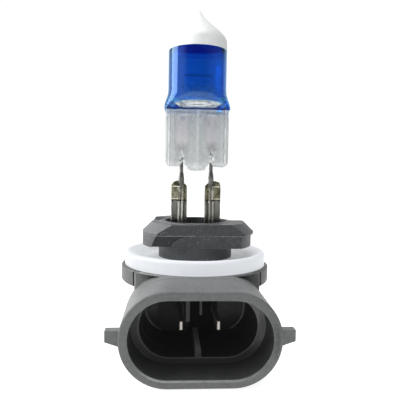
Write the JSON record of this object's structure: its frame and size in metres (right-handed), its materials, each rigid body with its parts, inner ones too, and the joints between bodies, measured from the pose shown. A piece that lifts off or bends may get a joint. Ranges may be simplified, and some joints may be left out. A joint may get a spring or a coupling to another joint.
{
  "type": "halogen headlight bulb",
  "caption": "Single-filament halogen headlight bulb: blue-filtered quartz capsule with a white tip, lug-locking plastic base, silicone seal ring and a right-angle oval plug socket.",
  "frame": {"origin": "lamp axis, at the underside of the locking lugs (the reference plane that seats in the reflector)", "axes": "+Z along the lamp axis to the bulb tip; -Y out of the plug socket; +X to the right seen from the socket side"},
  "size_m": [0.0276, 0.0337, 0.06],
  "materials": {
    "quartz": "polished",
    "blue_filter": "polished",
    "white_cap": "satin",
    "tungsten": "satin",
    "molybdenum": "satin",
    "foil": "satin",
    "lead_wire": "satin",
    "nickel": "satin",
    "terminal": "satin",
    "blade": "satin",
    "black_plastic": "matte",
    "compound": "matte",
    "silicone": "matte"
  },
  "bodies": {
    "root": {"quartz_envelope": "quartz", "blue_filter_coating": "blue_filter", "tip_cap_coating": "white_cap", "filament_coil": "tungsten", "filament_leg_left": "molybdenum", "filament_leg_right": "molybdenum", "molybdenum_foil_left": "foil", "molybdenum_foil_right": "foil", "outer_lead_left": "lead_wire", "outer_lead_right": "lead_wire", "lead_sleeve_left": "nickel", "lead_sleeve_right": "nickel", "terminal_post_left": "terminal", "terminal_post_right": "terminal", "connector_blade_left": "blade", "connector_blade_right": "blade", "base_housing": "black_plastic", "sealing_compound": "compound", "seal_ring": "silicone"}
  },
  "joints": []
}
